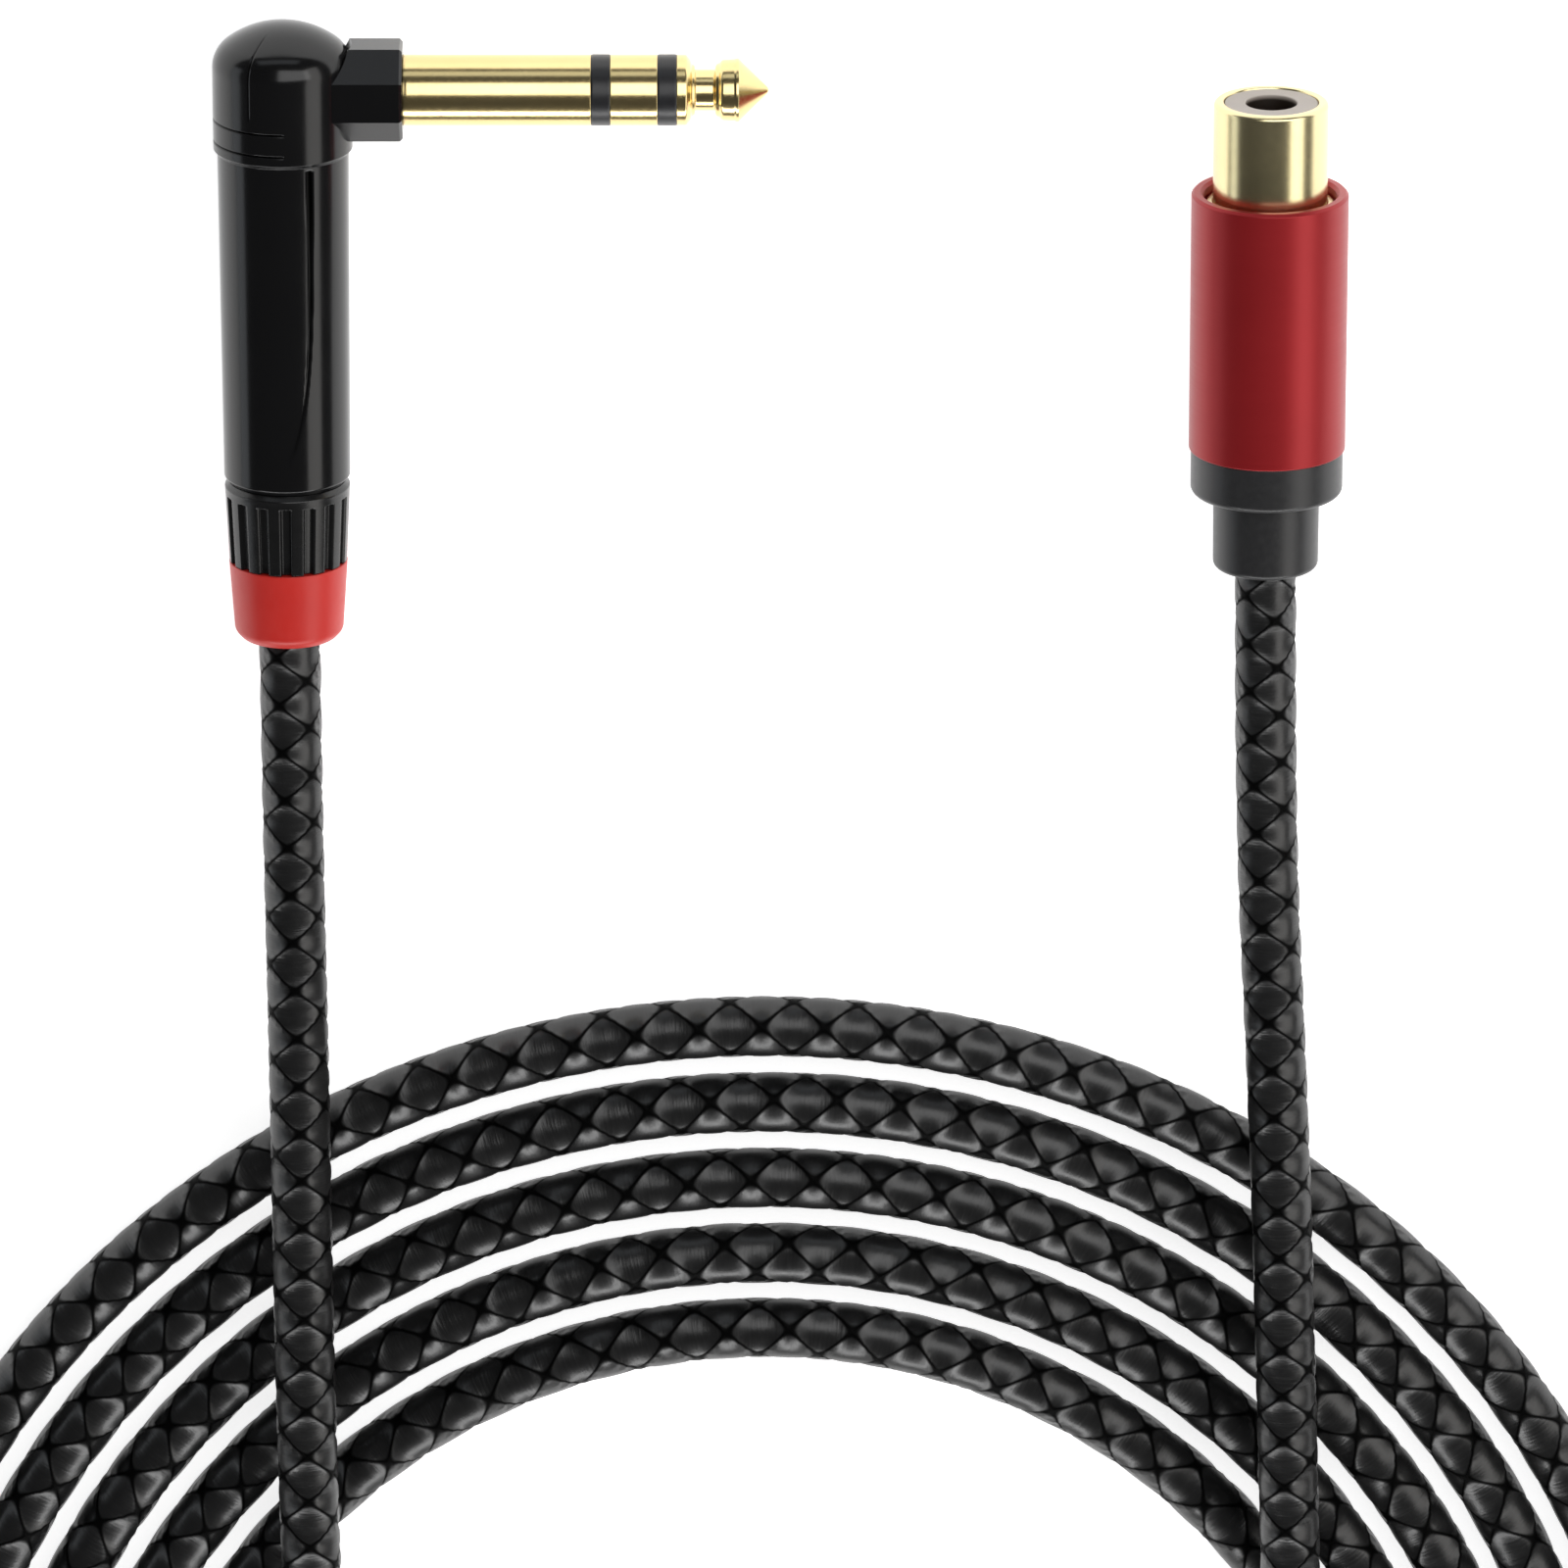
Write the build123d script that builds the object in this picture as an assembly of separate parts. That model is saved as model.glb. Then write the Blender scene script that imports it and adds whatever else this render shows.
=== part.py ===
from build123d import *
import math
import os

# Instrument cable: right-angle 6.35 mm three-pole plug, 5.6 mm cord, inline phono socket.
# Everything lies on a flat surface at Z = 0. The origin is the bottom centre of the plug's box.
# Sizes are in millimetres.

# ---- cord ----
CORD_R = 2.8
SCREEN_R = 1.9
CORE_R = 0.55

# ---- right-angle plug: "down" is the distance from the shaft's axis towards the cord ----
HEAD_R = 6.2
DOME_RISE = 4.0
DOME_SIDE_R = 2.9
DOME_TOP = -6.2
SHOULDER_DOWN = 5.6
BODY_R = 5.85
BODY_END_R = 5.65
BODY_DOWN = 36.3
CAVITY_R = 4.4
NUT_DOWN = 43.9
NUT_END_R = 5.3
NUT_RIBS = 16
RING_DOWN = 51.1
RING_END_R = 4.8
JACKET_DOWN = 30.1
CORD_BORE_R = 3.1

# ---- plug shaft: "out" is the distance from the body's axis towards the tip ----
SHAFT_R = 3.175
COLLAR_OUT = 10.7
COLLAR_FLATS = 8.5
BAND_1 = (27.4, 29.1)
BAND_2 = (33.3, 35.0)
NECK_R = 1.85
HEAD_TIP_R = 2.85
TIP_OUT = 43.2
TIP_ROD_R = 0.8
RING_TUBE_R = 1.7
FIT = 0.01

# ---- phono socket: "in" is the distance from its mouth towards the cord ----
BARREL_R = 5.1
BARREL_BORE_R = 4.15
BARREL_IN = 9.3
FLANGE_R = 5.75
FLANGE_IN = 9.9
THREAD_R = 5.45
THREAD_IN = 15.0
FACE_HOLE_R = 2.28
SLEEVE_R = 7.0
SLEEVE_BORE_R = 5.9
SLEEVE_FRONT_IN = 8.4
SLEEVE_IN = 32.3
RELIEF_COLLAR_R = 6.8
RELIEF_COLLAR_IN = 36.45
RELIEF_R = 4.75
RELIEF_IN = 43.5
RELIEF_BORE_R = 3.1
PIN_BORE_R = 1.62
SOCKET_JACKET_IN = 29.95

# ---- places ----
PLUG_X = (HEAD_R - TIP_OUT) / 2
SHAFT_Y = (RING_DOWN + DOME_TOP) / 2
PLUG_Z = HEAD_R
SOCKET_X = 69.2
MOUTH_Y = 21.65
SOCKET_Z = SLEEVE_R

BODY = Plane(origin=(PLUG_X, SHAFT_Y, PLUG_Z), x_dir=(1, 0, 0), z_dir=(0, -1, 0))
SHAFT = Plane(origin=(PLUG_X, SHAFT_Y, PLUG_Z), x_dir=(0, 0, 1), z_dir=(1, 0, 0))
SOCKET = Plane(origin=(SOCKET_X, MOUTH_Y, SOCKET_Z), x_dir=(1, 0, 0), z_dir=(0, -1, 0))

# ---- coil: five turns lying flat, side by side ----
TURN_X = 25.5
TURN_TOP_Y = -154.88
TURN_R = 57.6
TURN_PITCH = 6.78
TURN_SHIFT = 0.67
FIRST_TOP = 450.0
COIL_START = 272.5
COIL_END = 2035.0
COIL_STEP = 45.0

# ---- cord route from the plug to the coil, and from the coil to the socket ----
PLUG_ROUTE = [
    (PLUG_X, SHAFT_Y - JACKET_DOWN, PLUG_Z),
    (PLUG_X, -40.3, PLUG_Z),
    (-18.0, -72.8, 9.2),
    (-17.9, -99.2, 9.5),
    (-17.4, -125.5, 9.3),
    (-16.7, -148.5, 2.8),
    (-16.9, -164.3, 2.8),
    (-15.2, -180.3, 2.8),
    (-9.3, -193.5, 2.8),
    (1.2, -203.6, 2.8),
    (14.6, -209.0, 2.8),
]
SOCKET_ROUTE = [
    (-11.7, -232.0, 3.4),
    (4.7, -237.6, 6.4),
    (22.8, -237.8, 9.5),
    (41.6, -233.2, 9.8),
    (57.6, -223.1, 9.9),
    (68.7, -208.1, 9.9),
    (73.4, -191.7, 9.8),
    (74.0, -175.8, 9.5),
    (74.0, -159.8, 4.4),
    (73.7, -145.3, 4.4),
    (73.0, -129.4, 9.5),
    (72.1, -103.3, 9.8),
    (71.1, -75.3, 9.5),
    (SOCKET_X, -41.9, SOCKET_Z),
    (SOCKET_X, MOUTH_Y - SOCKET_JACKET_IN, SOCKET_Z),
]


def turned(place, outline, rounds=()):
    """A solid of revolution from (radius, distance) corners; rounds are (corner index, radius)."""
    face = make_face(Plane.XZ * Polyline(outline, close=True))
    for index, radius in rounds:
        r, z = outline[index]
        corner = face.vertices().sort_by_distance((r, 0, z))[0]
        face = fillet(corner, radius)
    return place * revolve(face, Axis.Z, 360)


def tube(place, inner, outer, low, high):
    """A straight tube between two distances along a place's axis."""
    return turned(place, [(inner, low), (outer, low), (outer, high), (inner, high)])


def rod(place, radius, low, high):
    """A straight rod between two distances along a place's axis."""
    return place * Pos(0, 0, low) * extrude(Circle(radius), high - low)


def block(place, low, high):
    """A box between two corners, in a place's own directions."""
    size = [b - a for a, b in zip(low, high)]
    middle = [(a + b) / 2 for a, b in zip(low, high)]
    return place * Pos(*middle) * Box(*size)


def wire(points, radius):
    """A round wire along straight runs joined by tangent arcs."""
    radii = corner_radii(points)
    path = FilletPolyline(*points, radius=radii) if radii else Polyline(points)
    start = Plane(origin=path @ 0, z_dir=path % 0)
    return sweep(start * Circle(radius), path=path), path, radii


def corner_radii(points):
    """The largest arc at each corner: 0.45 of the shorter run over the tangent of half the turn."""
    corners = [Vector(*p) for p in points]
    radii = []
    for before, here, after in zip(corners, corners[1:], corners[2:]):
        turn = math.radians((here - before).get_angle(after - here))
        shorter = min((here - before).length, (after - here).length)
        radii.append(0.45 * shorter / math.tan(turn / 2))
    return radii


def coil_point(angle, offset=0.0):
    """A point on the coil's spiral, whose radius and centre move steadily with the angle."""
    turns = (angle - FIRST_TOP) / 360
    radius = TURN_R + TURN_PITCH * turns + offset
    x = TURN_X + radius * math.cos(math.radians(angle))
    y = TURN_TOP_Y + TURN_SHIFT * turns + radius * math.sin(math.radians(angle))
    return (x, y, 0.0)


def spiral_edge(start, offset):
    """One turn of the spiral as arcs, at a distance outside its middle line."""
    arcs = []
    for step in range(round(360 / COIL_STEP)):
        a = start + step * COIL_STEP
        points = [coil_point(a + part * COIL_STEP, offset) for part in (0, 0.5, 1)]
        arcs.append(ThreePointArc(*points))
    return arcs


# ---------------------------------------------------------------- plug housing and shaft
def plug_housing():
    """Moulded black body with a domed head, two part grooves and a bore for the shaft."""
    dome_base = DOME_TOP + DOME_RISE
    side_x = HEAD_R - DOME_SIDE_R
    crown_rise = (side_x**2 + (DOME_RISE - DOME_SIDE_R) ** 2) / (2 * (DOME_RISE - DOME_SIDE_R))
    crown_r = crown_rise + DOME_SIDE_R
    lean = math.degrees(math.asin(side_x / (crown_r - DOME_SIDE_R)))
    crown = CenterArc((0, DOME_TOP + crown_r), crown_r, -90, lean)
    dome = crown + CenterArc((side_x, dome_base), DOME_SIDE_R, lean - 90, 90 - lean)
    side = Polyline(
        (HEAD_R, dome_base),
        (HEAD_R, SHOULDER_DOWN - 0.35),
        (BODY_R, SHOULDER_DOWN),
        (BODY_END_R, BODY_DOWN - 0.6),
        (BODY_END_R - 0.35, BODY_DOWN),
        (0, BODY_DOWN),
        (0, DOME_TOP),
    )
    shell = BODY * Rot(0, 0, 90) * revolve(make_face(Plane.XZ * (dome + side)), Axis.Z, 360)
    shell -= rod(BODY, CAVITY_R, -3.0, BODY_DOWN)
    shell -= rod(BODY, 5.05, BODY_DOWN - 3.1, BODY_DOWN)
    shell -= rod(SHAFT, 3.6 + FIT, 0, HEAD_R + 1)
    for down in (2.4, 4.4):
        groove = tube(BODY, HEAD_R - 0.25, HEAD_R + 0.5, down - 0.12, down + 0.12)
        shell -= groove & block(BODY, (-8, 0, down - 1), (0.4, 8, down + 1))
    return shell


def shaft_collar():
    """Eight-sided collar that holds the shaft's root against the housing."""
    eight = RegularPolygon(COLLAR_FLATS / 2, 8, major_radius=False, rotation=22.5)
    collar = SHAFT * Pos(0, 0, 4.5) * extrude(eight, COLLAR_OUT - 4.5)
    edges = collar.faces().sort_by(Axis.X)[-1].edges()
    collar = chamfer(edges, 0.25)
    collar -= rod(BODY, HEAD_R + FIT, -12, 12)
    collar += rod(SHAFT, 3.6, CAVITY_R, HEAD_R + 1)
    return collar - rod(SHAFT, 2.5 + FIT, 0, COLLAR_OUT)


def sleeve_contact():
    """Gold long pole of the plug, with a thinner root that passes through the collar."""
    outline = [
        (2.1 + FIT, 4.2),
        (2.5, 4.2),
        (2.5, COLLAR_OUT),
        (SHAFT_R, COLLAR_OUT),
        (SHAFT_R, BAND_1[0]),
        (2.1 + FIT, BAND_1[0]),
    ]
    return turned(SHAFT, outline, [(4, 0.1)])


def insulating_band(limits, inner):
    """Black band between two poles."""
    low, high = limits
    return tube(SHAFT, inner, SHAFT_R, low, high)


def tip_contact():
    """Gold tip: collar, waist, flare and cone, on a rod that runs back to its solder tag."""
    outline = [
        (0, 2.5),
        (TIP_ROD_R, 2.5),
        (TIP_ROD_R, BAND_2[1]),
        (SHAFT_R, BAND_2[1]),
        (SHAFT_R, 36.0),
        (2.4, 36.5),
        (NECK_R, 36.5),
        (NECK_R, 38.5),
        (2.4, 38.65),
        (HEAD_TIP_R, 39.2),
        (HEAD_TIP_R, 40.4),
        (0.35, TIP_OUT),
        (0, TIP_OUT),
    ]
    return turned(SHAFT, outline, [(9, 0.3), (4, 0.1)])


def solder_tag(out, thickness, inner, outer, reach):
    """A washer on one pole's root with a tongue towards the cord."""
    tag = tube(SHAFT, inner + FIT, outer, out, out + thickness)
    return tag + block(BODY, (out, -0.9, outer - 0.3), (out + thickness, 0.9, reach))


def sleeve_tag():
    """Ground tag whose tongue ends in a clip round the cord's screen."""
    tag = solder_tag(3.85, 0.3, 2.1, 3.0, 28.6)
    clip = tube(BODY, SCREEN_R + FIT, SCREEN_R + 0.4, 25.6, 28.6)
    clip -= block(BODY, (-3, -0.9, 25), (0, 0.9, 29))
    bridge = block(BODY, (SCREEN_R + 0.2, -0.9, 25.6), (3.85, 0.9, 26.0))
    return tag + clip + bridge


def clamp_collet():
    """Slotted collet that grips the jacket as the nut is tightened."""
    collet = tube(BODY, CORD_R + 0.02, 4.2, 31.0, 41.5)
    for turn in range(3):
        slot = block(Plane.XY, (3.0, -0.5, 33.0), (5.0, 0.5, 42.0))
        collet -= BODY * Rot(0, 0, 120 * turn) * slot
    return collet


def gland_nut():
    """Ribbed nut screwed into the housing; its ribs stop short of its top rim."""
    outline = [
        (CAVITY_R, BODY_DOWN - 3.0),
        (5.0, BODY_DOWN - 3.0),
        (5.0, BODY_DOWN + 0.02),
        (BODY_END_R - 0.3, BODY_DOWN + 0.02),
        (BODY_END_R, BODY_DOWN + 0.5),
        (NUT_END_R, NUT_DOWN),
        (4.02, NUT_DOWN),
        (4.02, 42.5),
        (CAVITY_R, 42.5),
    ]
    nut = turned(BODY, outline)
    for rib in range(NUT_RIBS):
        slot = block(Plane.XY, (5.1, -0.5, 37.6), (6.5, 0.5, NUT_DOWN + 1))
        nut -= BODY * Rot(0, 0, 360 * rib / NUT_RIBS) * slot
    return nut


def end_ring():
    """Red ring snapped into the nut's end, with a rounded lower rim."""
    outline = [
        (CORD_BORE_R, 42.6),
        (4.0, 42.6),
        (4.0, NUT_DOWN + FIT),
        (NUT_END_R, NUT_DOWN + FIT),
        (RING_END_R, RING_DOWN),
        (CORD_BORE_R, RING_DOWN),
    ]
    return turned(BODY, outline, [(4, 0.9)])


# ---------------------------------------------------------------- phono socket
def outer_contact():
    """Gold barrel with a rounded mouth, a stop flange and a threaded root."""
    outline = [
        (BARREL_BORE_R, 0),
        (BARREL_R, 0),
        (BARREL_R, BARREL_IN),
        (FLANGE_R, BARREL_IN),
        (FLANGE_R, FLANGE_IN),
        (THREAD_R, FLANGE_IN),
        (THREAD_R, THREAD_IN),
        (BARREL_BORE_R, THREAD_IN),
    ]
    return turned(SOCKET, outline, [(1, 0.85), (3, 0.2)])


def face_insulator():
    """Grey-brown plug of plastic that fills the barrel and holds the centre contact."""
    outline = [
        (FACE_HOLE_R, 0.1),
        (BARREL_BORE_R - FIT, 0.1),
        (BARREL_BORE_R - FIT, THREAD_IN),
        (2.0 + FIT, THREAD_IN),
        (2.0 + FIT, 2.0),
        (FACE_HOLE_R, 2.0),
    ]
    return turned(SOCKET, outline)


def centre_contact():
    """Slotted gold tube for the mating pin, closed at the back by a solder cup."""
    outline = [
        (PIN_BORE_R, 2.0 + FIT),
        (2.0, 2.0 + FIT),
        (2.0, 13.0),
        (1.2, 13.0),
        (1.2, 17.5),
        (0, 17.5),
        (0, 11.5),
        (PIN_BORE_R, 11.5),
    ]
    contact = turned(SOCKET, outline)
    slot = block(SOCKET, (-0.2, -3, 1.5), (0.2, 3, 8.5))
    return contact - slot


def ground_tag():
    """Washer behind the barrel with a tongue and a clip round the jacket."""
    tag = tube(SOCKET, 2.3, 4.6, THREAD_IN + FIT, THREAD_IN + 0.4)
    tag += block(SOCKET, (-1.0, 3.4, THREAD_IN + 0.1), (1.0, 3.8, 33.0))
    clip = tube(SOCKET, CORD_R + 0.02, CORD_R + 0.4, 30.2, 33.0)
    clip -= block(SOCKET, (-1.0, -4, 30), (1.0, 0, 34))
    return tag + clip + block(SOCKET, (-1.0, 3.1, 30.2), (1.0, 3.5, 33.0))


def sleeve():
    """Red anodised sleeve that screws on to the barrel's root up to the flange."""
    outline = [
        (SLEEVE_BORE_R + 0.3, SLEEVE_FRONT_IN),
        (SLEEVE_R, SLEEVE_FRONT_IN),
        (SLEEVE_R, SLEEVE_IN),
        (SLEEVE_BORE_R, SLEEVE_IN),
        (SLEEVE_BORE_R, THREAD_IN + 0.5),
        (THREAD_R + 0.08, THREAD_IN + 0.5),
        (THREAD_R + 0.08, FLANGE_IN + 0.05),
        (SLEEVE_BORE_R, FLANGE_IN + 0.05),
        (SLEEVE_BORE_R, SLEEVE_FRONT_IN + 0.5),
    ]
    return turned(SOCKET, outline, [(1, 0.15), (2, 0.15)])


def strain_relief():
    """Charcoal stepped boot pressed into the back of the sleeve."""
    outline = [
        (RELIEF_BORE_R + 0.9, 30.0),
        (SLEEVE_BORE_R - FIT, 30.0),
        (SLEEVE_BORE_R - FIT, SLEEVE_IN + FIT),
        (RELIEF_COLLAR_R, SLEEVE_IN + FIT),
        (RELIEF_COLLAR_R, RELIEF_COLLAR_IN),
        (RELIEF_R, RELIEF_COLLAR_IN),
        (RELIEF_R, RELIEF_IN),
        (RELIEF_BORE_R, RELIEF_IN),
        (RELIEF_BORE_R, 36.0),
        (RELIEF_BORE_R + 0.9, 35.1),
    ]
    return turned(SOCKET, outline, [(4, 0.5), (6, 0.6)])


# ---------------------------------------------------------------- wires inside the two ends
def inside(place, points):
    """Points given in a place's own directions, as points of the whole model."""
    return [tuple(place.from_local_coords(Vector(*p))) for p in points]


def core(place, points):
    """One insulated core between the cut jacket and its terminal."""
    return wire(inside(place, points), CORE_R)[0]


def solder_joints(place, points):
    """Small domes of solder where the cores meet their terminals."""
    return Compound(children=[place * Pos(*p) * Sphere(0.5) for p in points])


def cord_coil():
    """The coil's outer shape: a flat spiral plate one cord thick, with a step at each end."""
    outer = spiral_edge(COIL_END - 360, CORD_R)
    inner = spiral_edge(COIL_START, -CORD_R)
    outer_step = Line(outer[-1] @ 1, outer[0] @ 0)
    inner_step = Line(inner[-1] @ 1, inner[0] @ 0)
    plate = make_face(outer + [outer_step]) - make_face(inner + [inner_step])
    return extrude(plate, 2 * CORD_R, dir=(0, 0, 1))


def lead(points, name):
    """A free stretch of cord, with its arc radii and its volume against section times length."""
    solid, path, radii = wire(points, CORD_R)
    expected = math.pi * CORD_R**2 * path.length
    print(name, "arc radii", [round(r, 1) for r in radii])
    print(name, "length %.1f, volume ratio %.4f" % (path.length, solid.volume / expected))
    return solid


coil_start = coil_point(COIL_START)[:2] + (CORD_R,)
coil_end = coil_point(COIL_END)[:2] + (CORD_R,)

parts = {
    "plug_housing": plug_housing(),
    "shaft_collar": shaft_collar(),
    "sleeve_contact": sleeve_contact(),
    "rear_band": insulating_band(BAND_1, RING_TUBE_R + FIT),
    "ring_contact": tube(SHAFT, 1.3 + FIT, SHAFT_R, *BAND_1[1:], BAND_2[0])
    + tube(SHAFT, 1.3 + FIT, RING_TUBE_R, 3.3, BAND_1[1]),
    "front_band": insulating_band(BAND_2, TIP_ROD_R + FIT),
    "tip_contact": tip_contact(),
    "ring_liner": tube(SHAFT, RING_TUBE_R + FIT, 2.1, 3.8, BAND_1[0]),
    "tip_liner": tube(SHAFT, TIP_ROD_R + FIT, 1.3, 3.0, BAND_2[0]),
    "tip_tag": solder_tag(2.55, 0.35, TIP_ROD_R, 1.6, 9.0),
    "ring_tag": solder_tag(3.35, 0.35, RING_TUBE_R, 2.4, 13.0),
    "sleeve_tag": sleeve_tag(),
    "clamp_collet": clamp_collet(),
    "gland_nut": gland_nut(),
    "end_ring": end_ring(),
    "plug_screen": rod(BODY, SCREEN_R, 24.0, JACKET_DOWN),
    "tip_core": core(BODY, [(-0.9, 0, 24.0), (-0.9, 0, 18.0), (1.9, 0, 12.5), (1.9, 0, 8.0)]),
    "ring_core": core(BODY, [(0.7, 1.2, 24.0), (0.7, 1.2, 20.0), (2.7, 1.0, 16.5), (2.7, 0.3, 12.0)]),
    "plug_solder": solder_joints(BODY, [(1.9, 0, 7.48), (2.7, 0.3, 11.48)]),
    "outer_contact": outer_contact(),
    "face_insulator": face_insulator(),
    "centre_contact": centre_contact(),
    "ground_tag": ground_tag(),
    "sleeve": sleeve(),
    "strain_relief": strain_relief(),
    "socket_screen": rod(SOCKET, SCREEN_R, 26.0, SOCKET_JACKET_IN),
    "signal_core": core(SOCKET, [(0, -0.8, 26.0), (0, -0.8, 23.0), (0, 0, 20.0), (0, 0, 17.6)]),
    "drain_core": core(SOCKET, [(0, 1.0, 26.0), (0, 1.0, 23.6), (0, 2.8, 20.6), (0, 2.8, 18.0)]),
    "socket_solder": solder_joints(SOCKET, [(0, 2.8, 17.48)]),
    "cord_coil": cord_coil(),
    "lead_to_plug": lead(PLUG_ROUTE + [coil_start], "lead_to_plug"),
    "lead_to_socket": lead([coil_end] + SOCKET_ROUTE, "lead_to_socket"),
}

os.makedirs("parts", exist_ok=True)
for node, solid in parts.items():
    export_step(solid, f"parts/{node}.step")
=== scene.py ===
import math

import bmesh
import bpy
import numpy as np
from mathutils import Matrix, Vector


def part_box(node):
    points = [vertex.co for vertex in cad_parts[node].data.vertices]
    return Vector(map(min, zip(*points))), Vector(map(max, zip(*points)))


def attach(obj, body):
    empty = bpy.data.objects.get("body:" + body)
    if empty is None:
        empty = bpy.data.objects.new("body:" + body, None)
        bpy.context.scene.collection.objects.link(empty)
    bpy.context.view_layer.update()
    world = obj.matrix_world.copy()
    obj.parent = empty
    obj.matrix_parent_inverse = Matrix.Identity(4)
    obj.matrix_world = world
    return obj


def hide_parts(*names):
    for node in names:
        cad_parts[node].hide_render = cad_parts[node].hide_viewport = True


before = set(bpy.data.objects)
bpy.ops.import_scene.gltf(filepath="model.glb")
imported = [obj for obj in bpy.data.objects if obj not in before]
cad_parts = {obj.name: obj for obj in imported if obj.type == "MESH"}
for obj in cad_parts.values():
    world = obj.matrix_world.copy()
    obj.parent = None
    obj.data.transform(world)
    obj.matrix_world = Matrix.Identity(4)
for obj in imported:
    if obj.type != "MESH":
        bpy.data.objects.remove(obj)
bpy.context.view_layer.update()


# ---------------------------------------------------------------- camera
# The cable lies flat, and the camera stands above it, tilted a little past the vertical.
# It looks at the floor between the two connectors and the top of the coil.
AIM = Vector((0.0260, -0.0453, 0.0))
CAMERA_TILT = math.radians(20)
CAMERA_DISTANCE = 1.200
camera_data = bpy.data.cameras.new("camera")
camera_data.sensor_width = 36
camera_data.lens = 303.2
camera_data.clip_start = 0.01
camera = bpy.data.objects.new("camera", camera_data)
camera.location = AIM + CAMERA_DISTANCE * Vector((0, math.sin(CAMERA_TILT), math.cos(CAMERA_TILT)))
camera.rotation_euler = (-CAMERA_TILT, 0, 0)
bpy.context.scene.collection.objects.link(camera)
bpy.context.scene.camera = camera


# ---------------------------------------------------------------- jacketed cord
# One length of 5.6 mm flexible cord from the plug's gland to the socket's boot, with five flat turns
# between. Its black vinyl jacket is embossed by rollers with two crossing families of grooves.
CORD_R = 0.0028
CELLS_ROUND = 3
STEPS_PER_CELL = 8
LEAD_CELL = 0.0045
COIL_CELL = 0.0057
GROOVE_DEPTH = 0.00012
CROWN = 0.00007
GROOVE_SHARE = 0.5
GROOVE_POWER = 1.5
ROLLED_CELLS = 8
FIRST_ROLL = math.radians(36)
ROLL_SWAYS = ((6, 0.35), (13, 0.25))

# The coil's centre and radius at the angle FIRST_TOP, how much they grow in a turn, and the angles
# in degrees where it starts and ends.
TURN_X = 0.0255
TURN_TOP_Y = -0.15488
TURN_R = 0.0576
TURN_PITCH = 0.00678
TURN_SHIFT = 0.00067
FIRST_TOP = 450.0
COIL_START = 272.5
COIL_END = 2035.0
TURN_POINTS = 36

plug_route = [
    (-0.0185, -0.00765, 0.0062),
    (-0.0185, -0.0403, 0.0062),
    (-0.0180, -0.0728, 0.0092),
    (-0.0179, -0.0992, 0.0095),
    (-0.0174, -0.1255, 0.0093),
    (-0.0167, -0.1485, 0.0028),
    (-0.0169, -0.1643, 0.0028),
    (-0.0152, -0.1803, 0.0028),
    (-0.0093, -0.1935, 0.0028),
    (0.0012, -0.2036, 0.0028),
    (0.0146, -0.2090, 0.0028),
]
socket_route = [
    (-0.0117, -0.2320, 0.0034),
    (0.0047, -0.2376, 0.0064),
    (0.0228, -0.2378, 0.0095),
    (0.0416, -0.2332, 0.0098),
    (0.0576, -0.2231, 0.0099),
    (0.0687, -0.2081, 0.0099),
    (0.0734, -0.1917, 0.0098),
    (0.0740, -0.1758, 0.0095),
    (0.0740, -0.1598, 0.0044),
    (0.0737, -0.1453, 0.0044),
    (0.0730, -0.1294, 0.0095),
    (0.0721, -0.1033, 0.0098),
    (0.0711, -0.0753, 0.0095),
    (0.0692, -0.0419, 0.0070),
    (0.0692, -0.0083, 0.0070),
]


def coil_points():
    """The coil's turns: a flat spiral whose radius and centre move steadily with the angle."""
    steps = round((COIL_END - COIL_START) / 360 * TURN_POINTS)
    angle = np.linspace(COIL_START, COIL_END, steps + 1)
    turns = (angle - FIRST_TOP) / 360
    radius = TURN_R + TURN_PITCH * turns
    x = TURN_X + radius * np.cos(np.radians(angle))
    y = TURN_TOP_Y + TURN_SHIFT * turns + radius * np.sin(np.radians(angle))
    return np.stack([x, y, np.full_like(x, CORD_R)], axis=1)


def spline_line(points):
    """The line of a smooth open spline with these points as its control points."""
    curve = bpy.data.curves.new("route", "CURVE")
    curve.dimensions = "3D"
    curve.resolution_u = 24
    spline = curve.splines.new("NURBS")
    spline.points.add(len(points) - 1)
    spline.points.foreach_set("co", np.column_stack([points, np.ones(len(points))]).ravel())
    spline.order_u = 3
    spline.use_endpoint_u = True
    holder = bpy.data.objects.new("route", curve)
    mesh = bpy.data.meshes.new_from_object(holder)
    line = np.zeros(len(mesh.vertices) * 3)
    mesh.vertices.foreach_get("co", line)
    bpy.data.meshes.remove(mesh)
    bpy.data.objects.remove(holder)
    return line.reshape(-1, 3)


def grid_faces(rows, columns):
    """Quads between the rows of a grid whose columns close on themselves."""
    row, column = np.meshgrid(np.arange(rows - 1), np.arange(columns), indexing="ij")
    here = row * columns + column
    beside = row * columns + (column + 1) % columns
    return np.stack([here, beside, beside + columns, here + columns], axis=-1).reshape(-1, 4)


def mesh_piece(name, points, faces):
    """A new smooth-shaded mesh object from arrays of points and faces."""
    mesh = bpy.data.meshes.new(name)
    mesh.from_pydata(points.tolist(), [], faces)
    mesh.polygons.foreach_set("use_smooth", np.ones(len(mesh.polygons), bool))
    piece = bpy.data.objects.new(name, mesh)
    bpy.context.scene.collection.objects.link(piece)
    return piece


route = np.concatenate([plug_route, coil_points(), socket_route])
line = spline_line(route)
along = np.concatenate([[0], np.cumsum(np.linalg.norm(np.diff(line, axis=0), axis=1))])
cord_length = along[-1]

# The rollers' step is shorter on the two leads than in the coil, and changes over both humps.
LEAD_END = 0.16
SOCKET_LEAD = 0.18
CHANGE = 0.05


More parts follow.
